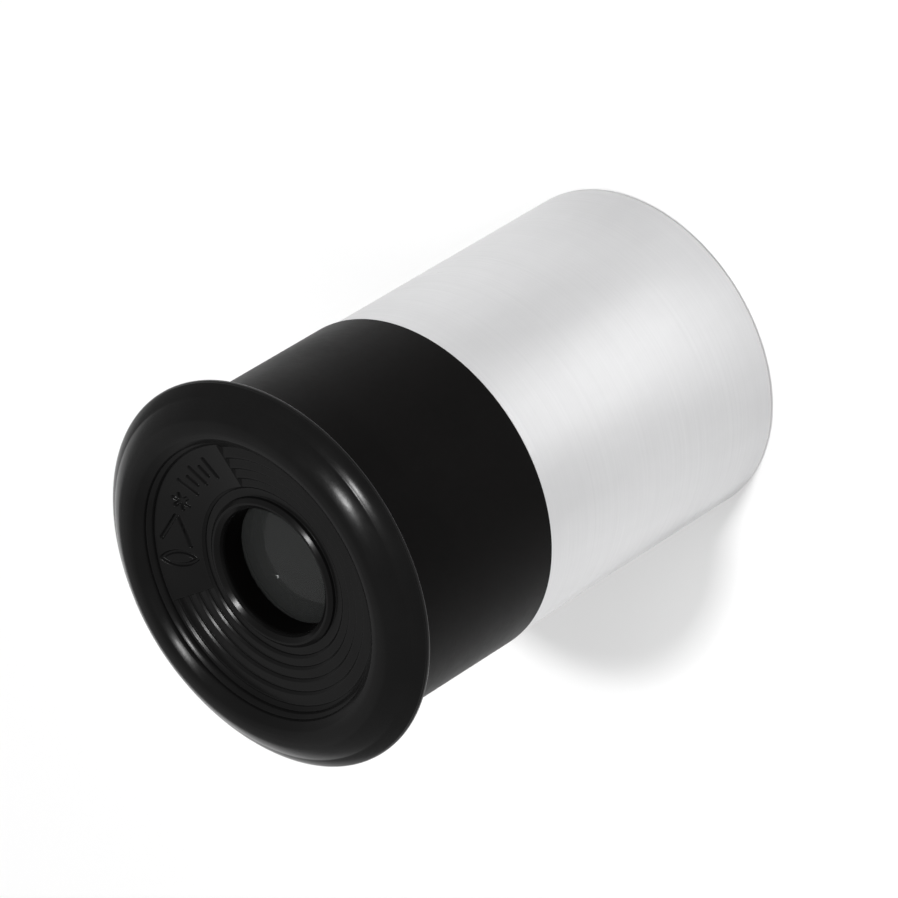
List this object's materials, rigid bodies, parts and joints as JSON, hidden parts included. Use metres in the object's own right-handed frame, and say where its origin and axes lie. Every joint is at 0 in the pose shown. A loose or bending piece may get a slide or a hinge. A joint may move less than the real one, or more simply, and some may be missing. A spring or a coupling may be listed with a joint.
{
  "type": "telescope eyepiece",
  "caption": "Huygenian telescope eyepiece: black moulded head with a dished, stepped face and rounded rim, screwed onto a plain bright push-fit barrel, with lenses and field stop inside.",
  "frame": {"origin": "centre of the barrel's open end, on the optical axis", "axes": "+Z along the optical axis towards the eye; the marked panel of the dished face is centred on +Y"},
  "size_m": [0.0282, 0.0282, 0.0405],
  "materials": {
    "black_plastic": "satin moulded",
    "bright_metal": "satin bright",
    "lens_glass": "polished",
    "blackened_metal": "matt black"
  },
  "bodies": {
    "barrel": {"barrel_tube": "bright_metal", "field_lens_cell": "blackened_metal", "field_lens": "lens_glass", "field_lens_ring": "blackened_metal", "stop_spacer": "blackened_metal", "field_stop": "blackened_metal", "baffle_tube": "blackened_metal"},
    "lens_carrier": {"eye_lens": "lens_glass"},
    "head": {"eye_cap": "black_plastic", "eye_lens_ring": "blackened_metal"}
  },
  "joints": [
    {"name": "head_lift", "type": "slide", "parent": "barrel", "child": "lens_carrier", "axis": [0, 0, 1], "range_m": [0, 0.00263]},
    {"name": "head_turn", "type": "hinge", "parent": "lens_carrier", "child": "head", "pos_m": [0, 0, 0.024], "axis": [0, 0, 1], "range_deg": [0, 1260]}
  ],
  "couplings": [
    {"joint": "head_turn", "follows": "head_lift", "rad_per_m": 8377.6}
  ]
}
